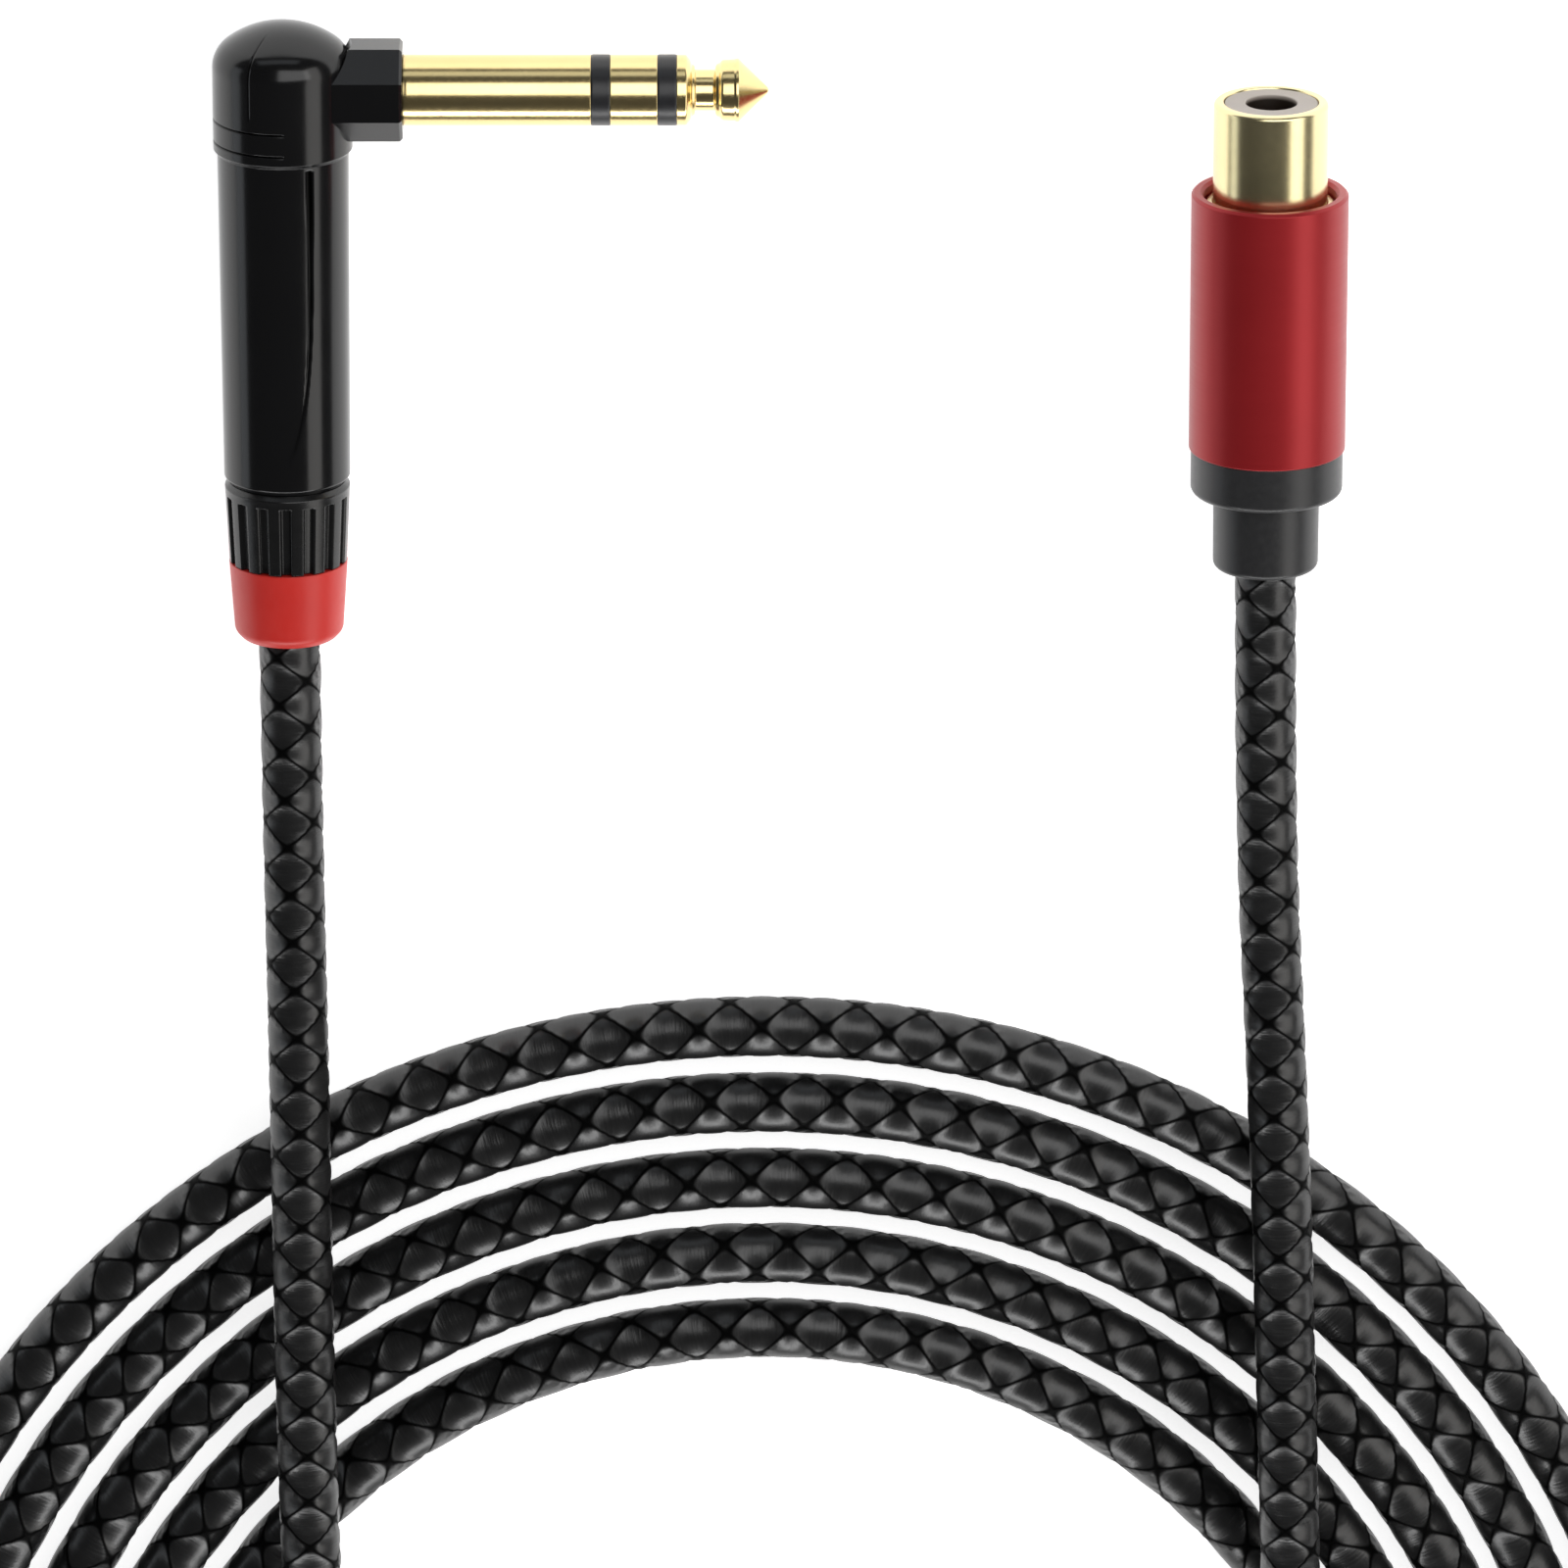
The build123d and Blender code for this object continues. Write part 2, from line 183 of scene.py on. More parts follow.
def cord_rings():
    """Distances along the cord of the mesh's rings: a whole number of equal steps in each cell.

    The cells passed at a distance are the sum of distance over the cell's length there, and the
    cell's length goes smoothly from the leads' to the coil's and back.
    """
    fine = np.linspace(0, cord_length, 20001)
    enter = np.clip((fine - LEAD_END) / CHANGE, 0, 1)
    leave = np.clip((cord_length - SOCKET_LEAD - fine) / CHANGE, 0, 1)
    in_coil = (enter * enter * (3 - 2 * enter)) * (leave * leave * (3 - 2 * leave))
    cell = LEAD_CELL + (COIL_CELL - LEAD_CELL) * in_coil
    cells = np.concatenate([[0], np.cumsum(np.diff(fine) / cell[1:])])
    steps = int(cells[-1] * STEPS_PER_CELL)
    at = np.arange(steps + 1) * cells[-1] / steps
    return np.interp(at, cells, fine), np.arange(steps + 1) / STEPS_PER_CELL


def cord_mesh():
    """The jacket's surface and the line that it follows.

    With a and b as three turns plus and minus the cells passed, the grooves lie where |sin(pi a)|
    or |sin(pi b)| is 0. The radius is the cord's less a narrow valley there, and less a low crown's
    height times 1 - |sin(pi a) sin(pi b)|, which rounds each cell. The pattern also rolls round the
    cord by a steady amount along it, with two slow sways on top.
    """
    distance, cells = cord_rings()
    middle = np.stack([np.interp(distance, along, line[:, k]) for k in range(3)], axis=1)
    forward = np.gradient(middle, axis=0)
    forward /= np.linalg.norm(forward, axis=1, keepdims=True)
    side = np.cross(forward, [0, 0, 1])
    side /= np.linalg.norm(side, axis=1, keepdims=True)
    up = np.cross(side, forward)

    columns = CELLS_ROUND * STEPS_PER_CELL
    turn = np.arange(columns) / columns
    a = CELLS_ROUND * turn[None, :] + cells[:, None]
    b = CELLS_ROUND * turn[None, :] - cells[:, None]
    from_a, from_b = np.abs(np.sin(np.pi * a)), np.abs(np.sin(np.pi * b))
    valley = np.clip(1 - np.minimum(from_a, from_b) / GROOVE_SHARE, 0, 1) ** GROOVE_POWER
    radius = CORD_R - GROOVE_DEPTH * valley - CROWN * (1 - from_a * from_b)
    share = 2 * np.pi * cells / cells[-1]
    roll = FIRST_ROLL + ROLLED_CELLS / CELLS_ROUND * share
    for waves, sway in ROLL_SWAYS:
        roll = roll + sway * np.sin(waves * share)
    angle = 2 * np.pi * turn[None, :] + roll[:, None]
    out = np.cos(angle)[..., None] * side[:, None, :] + np.sin(angle)[..., None] * up[:, None, :]
    points = (middle[:, None, :] + radius[..., None] * out).reshape(-1, 3)

    faces = grid_faces(len(distance), columns)
    ends = len(points)
    points = np.concatenate([points, middle[:1], middle[-1:]])
    column = np.arange(columns)
    beside = (column + 1) % columns
    last = (len(distance) - 1) * columns
    start_cap = np.stack([beside, column, np.full(columns, ends)], axis=1)
    end_cap = np.stack([last + column, last + beside, np.full(columns, ends + 1)], axis=1)
    piece = mesh_piece("cord_jacket", points, faces.tolist() + start_cap.tolist() + end_cap.tolist())

    uv = piece.data.uv_layers.new(name="emboss")
    row = faces[:, 0] // columns
    column = faces[:, 0] % columns
    corner_turn = np.stack([column, column + 1, column + 1, column], axis=1) / columns
    corner_cells = np.stack([row, row, row + 1, row + 1], axis=1) / STEPS_PER_CELL
    corners = np.stack(
        [CELLS_ROUND * corner_turn + corner_cells, CELLS_ROUND * corner_turn - corner_cells], axis=-1
    )
    caps = np.full((6 * columns, 2), 0.25)
    uv.data.foreach_set("uv", np.concatenate([corners.reshape(-1, 2), caps]).ravel())
    return piece, middle


cord, cord_middle = cord_mesh()


def new_material(name, colour, roughness, metallic=0.0):
    """A material with its shader's plain numbers set; returns its nodes, links and shader too."""
    material = bpy.data.materials.new(name)
    material.use_nodes = True
    nodes, links = material.node_tree.nodes, material.node_tree.links
    shader = nodes["Principled BSDF"]
    shader.inputs["Base Color"].default_value = (*colour, 1)
    shader.inputs["Roughness"].default_value = roughness
    shader.inputs["Metallic"].default_value = metallic
    return material, nodes, links, shader


def add(nodes, kind, **values):
    """A node of a kind, with its own settings given by name."""
    node = nodes.new(kind)
    for name, value in values.items():
        setattr(node, name, value)
    return node


def maths(nodes, links, operation, *inputs):
    """The output of a Math node whose inputs are numbers or other outputs."""
    node = add(nodes, "ShaderNodeMath", operation=operation)
    for socket, value in zip(node.inputs, inputs):
        if isinstance(value, (int, float)):
            socket.default_value = value
        else:
            links.new(value, socket)
    return node.outputs[0]


def ranged(nodes, links, value, low, high, to_low, to_high):
    """A value taken smoothly from one range to another."""
    node = add(nodes, "ShaderNodeMapRange", interpolation_type="SMOOTHSTEP")
    for name, number in (("From Min", low), ("From Max", high), ("To Min", to_low), ("To Max", to_high)):
        node.inputs[name].default_value = number
    links.new(value, node.inputs["Value"])
    return node.outputs[0]


def mixed(nodes, links, factor, first, second):
    """One colour blended into another by a factor."""
    node = add(nodes, "ShaderNodeMix", data_type="RGBA")
    links.new(factor, node.inputs["Factor"])
    node.inputs["A"].default_value = (*first, 1)
    node.inputs["B"].default_value = (*second, 1)
    return node.outputs["Result"]


def noise(nodes, links, scale, detail=2.0, stretch=None, vector=None):
    """Noise on object coordinates, or on another vector, stretched along the axes if asked."""
    source = vector or add(nodes, "ShaderNodeTexCoord").outputs["Object"]
    if stretch:
        mapping = add(nodes, "ShaderNodeMapping")
        mapping.inputs["Scale"].default_value = stretch
        links.new(source, mapping.inputs["Vector"])
        source = mapping.outputs["Vector"]
    node = add(nodes, "ShaderNodeTexNoise")
    node.inputs["Scale"].default_value = scale
    node.inputs["Detail"].default_value = detail
    links.new(source, node.inputs["Vector"])
    return node.outputs["Fac"]


def bumped(nodes, links, shader, height, strength, distance):
    """Feeds a height to the shader's normal through a bump."""
    node = add(nodes, "ShaderNodeBump")
    node.inputs["Strength"].default_value = strength
    node.inputs["Distance"].default_value = distance
    links.new(height, node.inputs["Height"])
    links.new(node.outputs["Normal"], shader.inputs["Normal"])


def jacket_material():
    """Glossy black vinyl: painted shade darkens and dulls the creases along both families of grooves, and a
    fine grain is drawn across.
    """
    material, nodes, links, shader = new_material("embossed_vinyl", (0.010, 0.010, 0.010), 0.3)
    emboss = add(nodes, "ShaderNodeUVMap", uv_map="emboss").outputs["UV"]
    split = add(nodes, "ShaderNodeSeparateXYZ")
    links.new(emboss, split.inputs["Vector"])
    waves = []
    for share in (split.outputs["X"], split.outputs["Y"]):
        wave = maths(nodes, links, "SINE", maths(nodes, links, "MULTIPLY", share, math.pi))
        waves.append(maths(nodes, links, "ABSOLUTE", wave))
    both = maths(nodes, links, "MULTIPLY", *waves)
    puff = maths(nodes, links, "MULTIPLY", both, maths(nodes, links, "SUBTRACT", 2.0, both))
    # clear is 0 in the grooves and 1 on the cells; it carries the grooves' painted shade and their
    # roughness.
    clear = ranged(nodes, links, both, 0.03, 0.19, 0.0, 1.0)
    round_turn = maths(nodes, links, "ADD", split.outputs["X"], split.outputs["Y"])
    passed = maths(nodes, links, "SUBTRACT", split.outputs["X"], split.outputs["Y"])
    grain_place = add(nodes, "ShaderNodeCombineXYZ")
    links.new(maths(nodes, links, "MULTIPLY", round_turn, 1.2), grain_place.inputs["X"])
    links.new(maths(nodes, links, "MULTIPLY", passed, 14.0), grain_place.inputs["Y"])
    grain = noise(nodes, links, 1.0, 3.0, vector=grain_place.outputs["Vector"])
    speckle = noise(nodes, links, 1100.0, 3.0)
    # Painted shade: the grooves' colour is drawn darker than the cells', and the next lines also weaken
    # their reflection.
    colour = mixed(nodes, links, clear, (0.0015, 0.0015, 0.0015), (0.007, 0.007, 0.0072))
    links.new(colour, shader.inputs["Base Color"])
    links.new(maths(nodes, links, "MULTIPLY_ADD", clear, 0.60, 0.03), shader.inputs["Specular IOR Level"])
    rough = maths(nodes, links, "MULTIPLY_ADD", grain, 0.14, 0.23)
    rough = maths(nodes, links, "MULTIPLY_ADD", speckle, 0.05, rough)
    rough = maths(nodes, links, "MULTIPLY_ADD", clear, -0.12, maths(nodes, links, "ADD", rough, 0.12))
    links.new(rough, shader.inputs["Roughness"])
    height = maths(nodes, links, "MULTIPLY_ADD", grain, 0.08, puff)
    height = maths(nodes, links, "MULTIPLY_ADD", speckle, 0.03, height)
    bumped(nodes, links, shader, height, 1.0, 0.00032)
    return material


cord.data.materials.append(jacket_material())
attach(cord, "cable")
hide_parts("lead_to_plug", "cord_coil", "lead_to_socket")


# ---------------------------------------------------------------- turned shapes
# Nearly every other piece is turned or moulded round an axis: the plug's body and nut round the
# cord's line, the shaft's poles round the shaft's, and the socket's pieces round its own.
body_low, body_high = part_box("gland_nut")
shaft_low, shaft_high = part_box("sleeve_contact")
sleeve_low, sleeve_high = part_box("sleeve")
barrel_low, barrel_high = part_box("outer_contact")
plug_centre = Vector(
    (
        (body_low.x + body_high.x) / 2,
        (shaft_low.y + shaft_high.y) / 2,
        (shaft_low.z + shaft_high.z) / 2,
    )
)
socket_mouth = Vector(
    ((sleeve_low.x + sleeve_high.x) / 2, barrel_high.y, (sleeve_low.z + sleeve_high.z) / 2)
)
# A place is an origin, the direction measured along, and the direction of the first column.
BODY = (plug_centre, Vector((0, -1, 0)), Vector((0, 0, 1)))
SHAFT = (plug_centre, Vector((1, 0, 0)), Vector((0, 0, 1)))
SOCKET = (socket_mouth, Vector((0, -1, 0)), Vector((0, 0, 1)))
MM = 0.001


def rounded_outline(corners):
    """An outline from (radius, along, rounding) corners, in millimetres.

    Each corner becomes an arc tangent to both of its sides with a point beyond each end of it, so
    that smooth shading keeps flat stretches flat. A corner with no rounding stays one point.
    """
    at = np.array([c[:2] for c in corners], float)
    count = len(at)
    points = []
    for i, (_, _, rounding) in enumerate(corners):
        here = at[i]
        if rounding == 0:
            points.append(here)
            continue
        before, after = at[i - 1] - here, at[(i + 1) % count] - here
        reach = min(np.linalg.norm(before), np.linalg.norm(after))
        before, after = before / np.linalg.norm(before), after / np.linalg.norm(after)
        half = math.acos(float(np.clip(before @ after, -1, 1))) / 2
        cut = min(max(rounding, 0.03) / math.tan(half), 0.45 * reach)
        radius = cut * math.tan(half)
        centre = here + (before + after) / np.linalg.norm(before + after) * radius / math.sin(half)
        start, end = here + before * cut - centre, here + after * cut - centre
        sweep = math.atan2(start[0] * end[1] - start[1] * end[0], start @ end)
        steps = 2 + round(abs(sweep) / 0.22)
        t = np.linspace(0, sweep, steps + 1)
        arc = np.stack(
            [start[0] * np.cos(t) - start[1] * np.sin(t), start[0] * np.sin(t) + start[1] * np.cos(t)],
            axis=1,
        )
        guard = min(0.05, 0.05 * reach)
        points += [here + before * (cut + guard), *(centre + arc), here + after * (cut + guard)]
    return np.array(points)


def turned(name, place, corners, columns=96, closed=True, shape=None):
    """A piece turned round a place's axis, from an outline of (radius, along, rounding) corners.

    A point is the origin plus along times the axis plus radius times the direction at its turn.
    An outline that isn't closed starts and ends on the axis. shape(radius, along, turn) may change
    the radius, with all three as whole arrays in millimetres and radians.
    """
    outline = rounded_outline(corners)
    origin, axis, first = (np.array(v) for v in place)
    second = np.cross(first, axis)
    turn = 2 * np.pi * np.arange(columns) / columns
    radius = np.repeat(outline[:, :1], columns, axis=1)
    distance = np.repeat(outline[:, 1:], columns, axis=1)
    turns = np.repeat(turn[None, :], len(outline), axis=0)
    if shape:
        radius = shape(radius, distance, turns)
    direction = np.cos(turns)[..., None] * first + np.sin(turns)[..., None] * second
    points = origin + MM * (distance[..., None] * axis + radius[..., None] * direction)
    rows = len(outline)
    faces = grid_faces(rows, columns)
    if closed:
        column = np.arange(columns)
        beside = (column + 1) % columns
        last = (rows - 1) * columns
        faces = np.concatenate([faces, np.stack([last + column, last + beside, beside, column], axis=1)])
    piece = mesh_piece(name, points.reshape(-1, 3), faces.tolist())
    clean = bmesh.new()
    clean.from_mesh(piece.data)
    bmesh.ops.remove_doubles(clean, verts=clean.verts, dist=1e-7)
    bmesh.ops.dissolve_degenerate(clean, edges=clean.edges, dist=1e-8)
    bmesh.ops.recalc_face_normals(clean, faces=clean.faces)
    clean.to_mesh(piece.data)
    clean.free()
    return piece


def fitted(piece, material, body, slot, *nodes):
    """Gives a finished piece its material and body, and hides the frame's nodes it stands for. Its slot is
    not used.
    """
    piece.data.materials.append(material)
    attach(piece, body)
    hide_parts(*nodes)


# ---------------------------------------------------------------- plug housing
# A glass-filled plastic body in gloss black: domed head, two part grooves under it, a long
# scalloped finger flat on the front with a sharp slit for its edge, open at the cord's end.
HEAD_R = 6.2
BODY_TOP_R = 5.85
BODY_END_R = 5.65
BODY_END = 36.3
DOME_TOP = -6.2
DOME_BASE = -2.2
DOME_CROWN_R = 8.4
DOME_SIDE_R = 2.9
SHOULDER = 5.6
CHAMBER_R = 4.4
CHAMBER_TOP = 4.2
MOUTH_R = 5.05
MOUTH_FLOOR = 33.2


def smooth(value, low, high):
    """0 below low, 1 above high, and a smooth step between."""
    t = np.clip((value - low) / (high - low), 0, 1)
    return t * t * (3 - 2 * t)


GROOVES = (2.4, 4.4)
GROOVE_CUT = 0.14
SLIT_TOP = 6.0
SLIT_END = 32.8
SLIT_SIDE = 2.5
SLIT_DRIFT = 1.9
SLIT_HALF_WIDTH = 0.22
SLIT_CUT = 0.30
SEAM_TURN = math.radians(-27)
SEAM_CUT = 0.07
FLAT_START = (18.0, 30.0)
FLAT_END = (32.6, 33.8)
FLAT_CUT = 0.10


def smooth_lines(side, along, over, radius):
    """How deep each moulded line cuts, and how much shade is painted into it, at places on the housing's
    outside.

    side is the distance to the right of the axis and over is 1 on top. The slit's side moves in
    by its drift times t^5 while its width narrows, with t from 0 at its top to 1 at its end.
    """
    left = 1 - smooth(side, 0.15, 0.35)
    top = smooth(over, -0.2, 0.1)
    grooves = sum(1 - smooth(np.abs(along - at), 0.03, 0.13) for at in GROOVES) * left * top
    t = np.clip((along - SLIT_TOP) / (SLIT_END - SLIT_TOP), 0, 1)
    line = SLIT_SIDE - SLIT_DRIFT * t**5
    half_width = np.clip(SLIT_HALF_WIDTH * (1 - 1.15 * t), 0.02, 1)
    slit = 1 - smooth(np.abs(side - line), half_width, half_width + 0.11)
    slit = slit * smooth(along, SLIT_TOP - 0.12, SLIT_TOP)
    slit = slit * (1 - smooth(along, SLIT_END - 1.5, SLIT_END)) * top
    away = radius * np.abs(np.arctan2(side, np.maximum(over, 1e-6) * radius) - SEAM_TURN)
    seam = (1 - smooth(away, 0.02, 0.1)) * smooth(radius, 2.5, 3.5) * (1 - smooth(along, 0.8, 1.4)) * top
    flat = smooth(line - side, 0.0, 0.2) * smooth(side, -2.6, 0.6) * smooth(along, *FLAT_START)
    flat = flat * (1 - smooth(along, *FLAT_END)) * top
    depth = GROOVE_CUT * grooves + (SLIT_CUT - 0.22 * t) * slit + SEAM_CUT * seam + FLAT_CUT * flat
    # The second value is painted shade: how much darker each line's colour is drawn.
    return depth, np.clip(grooves + slit * (1 - 0.4 * t) + 0.9 * seam, 0, 1)


def housing_shape(radius, along, turn):
    """The housing's radius with its moulded lines cut in from the outside."""
    depth, _ = smooth_lines(np.sin(turn) * radius, along, np.cos(turn), radius)
    outside = (along < 3.0) | (radius > 5.2)
    return radius - depth * outside * (along < BODY_END - 0.3)


def housing():
    """The body's outline from its dome to the open end and back up its bore, turned round the axis.

    The dome is a wide arc for its crown that runs into a tighter one at its side.
    """
    lean = math.asin((HEAD_R - DOME_SIDE_R) / (DOME_CROWN_R - DOME_SIDE_R))
    dome = [
        (DOME_CROWN_R * math.sin(a), DOME_TOP + DOME_CROWN_R * (1 - math.cos(a)), 0.0)
        for a in np.linspace(0, lean, 14)[1:]
    ]
    dome += [
        (HEAD_R - DOME_SIDE_R * (1 - math.sin(a)), DOME_BASE - DOME_SIDE_R * math.cos(a), 0.0)
        for a in np.linspace(lean, math.pi / 2, 12)[1:]
    ]
    near_grooves = [np.arange(at - 0.18, at + 0.19, 0.045) for at in GROOVES]
    head = [*np.arange(-1.8, 2.0, 0.3), *near_grooves[0], 3.0, 3.6, *near_grooves[1], 4.9]
    head = [(HEAD_R, along, 0.0) for along in head]
    step = [(HEAD_R, SHOULDER - 0.35, 0.12), (BODY_TOP_R, SHOULDER, 0.12)]
    slit_start = np.arange(SLIT_TOP - 0.14, SLIT_TOP + 0.05, 0.06)
    stretch = [*slit_start, *np.arange(SLIT_TOP + 0.3, BODY_END - 0.7, 0.3)]
    side = [
        (BODY_TOP_R + (BODY_END_R - BODY_TOP_R) * (along - SHOULDER) / (BODY_END - SHOULDER), along, 0.0)
        for along in stretch
    ]
    rim = [(BODY_END_R, BODY_END - 0.5, 0.3), (BODY_END_R - 0.4, BODY_END, 0.2)]
    bore = [(MOUTH_R, BODY_END, 0.08), (MOUTH_R, MOUTH_FLOOR, 0.08), (CHAMBER_R, MOUTH_FLOOR, 0.08)]
    bore += [(CHAMBER_R, CHAMBER_TOP, 0.5), (0.0, CHAMBER_TOP, 0.0)]
    corners = [(0.0, DOME_TOP, 0.0)] + dome + head + step + side + rim + bore
    piece = turned("housing_shell", BODY, corners, columns=320, closed=False, shape=housing_shape)
    place = np.zeros(len(piece.data.vertices) * 3)
    piece.data.vertices.foreach_get("co", place)
    off = (place.reshape(-1, 3) - np.array(plug_centre)) / MM
    radius = np.hypot(off[:, 0], off[:, 2])
    # The moulded lines' painted shade, kept on the points for the material to darken them by.
    _, painted_shade = smooth_lines(off[:, 0], -off[:, 1], off[:, 2] / np.maximum(radius, 1e-6), radius)
    painted_crease_shade = piece.data.attributes.new("painted_crease_shade", "FLOAT", "POINT")
    painted_crease_shade.data.foreach_set("value", painted_shade.astype(np.float32))
    return piece


def gloss_black():
    """Gloss black plastic: a faint orange peel, and painted shade in the moulded lines, which also reflect
    less there.
    """
    material, nodes, links, shader = new_material("gloss_black_plastic", (0.007, 0.007, 0.0075), 0.2)
    painted_crease_shade = add(nodes, "ShaderNodeAttribute", attribute_name="painted_crease_shade").outputs["Fac"]
    # Painted shade: the colour goes nearly black and the reflection weaker along the moulded lines.
    colour = mixed(nodes, links, painted_crease_shade, (0.005, 0.005, 0.0054), (0.0005, 0.0005, 0.0005))
    links.new(colour, shader.inputs["Base Color"])
    links.new(maths(nodes, links, "MULTIPLY_ADD", painted_crease_shade, -0.38, 0.40), shader.inputs["Specular IOR Level"])
    cloud = noise(nodes, links, 160.0, 4.0)
    marks = noise(nodes, links, 700.0, 2.0, stretch=(6.0, 0.6, 6.0))
    rough = maths(nodes, links, "MULTIPLY_ADD", cloud, 0.08, 0.12)
    rough = maths(nodes, links, "MULTIPLY_ADD", marks, 0.04, rough)
    links.new(rough, shader.inputs["Roughness"])
    bumped(nodes, links, shader, noise(nodes, links, 420.0, 2.0), 0.08, 0.00004)
    return material


black_gloss = gloss_black()
fitted(housing(), black_gloss, "cable", "gloss_black", "plug_housing")
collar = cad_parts["shaft_collar"]
collar.data.materials.clear()
collar.data.materials.append(black_gloss)


# ---------------------------------------------------------------- plug shaft
# Gold-plated brass poles threaded on one rod, with black bands of moulded insulation between:
# long pole, band, ring pole, band, and the tip with its waist, flare and cone.
SHAFT_R = 3.175
COLLAR_OUT = 10.7
BAND_1 = (27.4, 29.1)
BAND_2 = (33.3, 35.0)
TIP_OUT = 43.2
LONG_POLE_IN = 4.2
LONG_POLE_ROOT_R = 2.5
LONG_POLE_BORE_R = 2.11
RING_POLE_IN = 3.3
RING_POLE_ROOT_R = 1.7
RING_POLE_BORE_R = 1.31
ROD_IN = 2.5
ROD_R = 0.8
BAND_EDGE_R = 3.13


def gold_material(name, deep, pale, roughness):
    """Polished gold plate: a colour that clouds between two tones, with faint turning marks."""
    material, nodes, links, shader = new_material(name, deep, roughness, 1.0)
    cloud = noise(nodes, links, 130.0, 3.0)
    links.new(mixed(nodes, links, cloud, deep, pale), shader.inputs["Base Color"])
    marks = noise(nodes, links, 2600.0, 2.0)
    links.new(maths(nodes, links, "MULTIPLY_ADD", marks, 0.08, roughness - 0.04), shader.inputs["Roughness"])
    bumped(nodes, links, shader, marks, 0.05, 0.00003)
    return material


def band_material():
    """Satin black moulded insulation."""
    material, nodes, links, shader = new_material("band_plastic", (0.012, 0.012, 0.014), 0.35)
    grain = noise(nodes, links, 1500.0, 3.0)
    links.new(maths(nodes, links, "MULTIPLY_ADD", grain, 0.15, 0.28), shader.inputs["Roughness"])
    bumped(nodes, links, shader, grain, 0.1, 0.00004)
    return material


gold = gold_material("gold_plate", (0.80, 0.62, 0.28), (0.88, 0.71, 0.36), 0.19)
band_plastic = band_material()
long_pole = [
    (LONG_POLE_BORE_R, LONG_POLE_IN, 0.05),
    (LONG_POLE_ROOT_R, LONG_POLE_IN, 0.05),
    (LONG_POLE_ROOT_R, COLLAR_OUT, 0.03),
    (SHAFT_R - 0.03, COLLAR_OUT + 0.02, 0.05),
    (SHAFT_R, COLLAR_OUT + 0.4, 0.3),
    (SHAFT_R, BAND_1[0], 0.09),
    (LONG_POLE_BORE_R, BAND_1[0], 0.03),
]
ring_pole = [
    (RING_POLE_BORE_R, RING_POLE_IN, 0.03),
    (RING_POLE_ROOT_R, RING_POLE_IN, 0.03),
    (RING_POLE_ROOT_R, BAND_1[1], 0.03),
    (SHAFT_R, BAND_1[1], 0.09),
    (SHAFT_R, BAND_2[0], 0.09),
    (RING_POLE_BORE_R, BAND_2[0], 0.03),
]
tip = [
    (0.0, ROD_IN, 0.0),
    (ROD_R, ROD_IN, 0.1),
    (ROD_R, BAND_2[1], 0.03),
    (SHAFT_R - 0.01, BAND_2[1], 0.08),
    (SHAFT_R - 0.01, 35.85, 0.3),
    (2.75, 36.2, 0.1),
    (2.35, 36.35, 0.12),
    (2.2, 36.6, 0.08),
    (1.85, 36.65, 0.1),
    (1.85, 38.3, 0.15),
    (2.3, 38.45, 0.12),
    (2.45, 38.75, 0.15),
    (2.72, 39.0, 0.35),
    (2.78, 40.1, 0.12),
    (2.86, 40.3, 0.08),
    (2.84, 40.5, 0.1),
    (0.30, 43.05, 0.3),
    (0.0, TIP_OUT, 0.0),
]
fitted(turned("shaft_long_pole", SHAFT, long_pole), gold, "cable", "gold", "sleeve_contact")
fitted(turned("shaft_ring_pole", SHAFT, ring_pole), gold, "cable", "gold", "ring_contact")
fitted(turned("shaft_tip", SHAFT, tip, closed=False), gold, "cable", "gold", "tip_contact")
for label, node, (low, high), bore in (
    ("shaft_rear_band", "rear_band", BAND_1, RING_POLE_ROOT_R + 0.01),
    ("shaft_front_band", "front_band", BAND_2, ROD_R + 0.01),
):
    outline = [
        (bore, low, 0.03),
        (BAND_EDGE_R, low, 0.05),
        (SHAFT_R, low + 0.15, 0.1),
        (SHAFT_R, high - 0.15, 0.1),
        (BAND_EDGE_R, high, 0.05),
        (bore, high, 0.03),
    ]
    fitted(turned(label, SHAFT, outline), band_plastic, "cable", "band_black", node)


# ---------------------------------------------------------------- gland nut and end ring
# A black nylon nut screws up under the housing: a plain rim, then sixteen square ribs down to its
# end, where a red ring is snapped in and closes round the cord.
NUT_TOP = 36.34
NUT_END = 43.9
NUT_END_R = 5.3
SPIGOT_R = 5.0
SPIGOT_TOP = 33.3
NUT_BORE_R = 4.4
NUT_SEAT_R = 4.02
NUT_SEAT = 42.5
RIBS = 16
RIB_TOP = (37.50, 37.62)
SLOT_DEPTH = 0.45
RING_TOP = 42.6
RING_SPIGOT_R = 4.0
RING_BORE_R = 3.1
RING_MOUTH_R = 3.32
RING_END = 51.1
RING_END_R = 4.8


def rib_shape(radius, along, turn):
    """Square-topped slots between the ribs, from a little under the rim to the nut's end."""
    wave = np.abs(((turn * RIBS / (2 * np.pi)) % 1.0) - 0.5) * 2
    slot = smooth(wave, 0.54, 0.64)
    down = smooth(along, *RIB_TOP)
    return radius - SLOT_DEPTH * slot * down * smooth(radius, 5.05, 5.15)


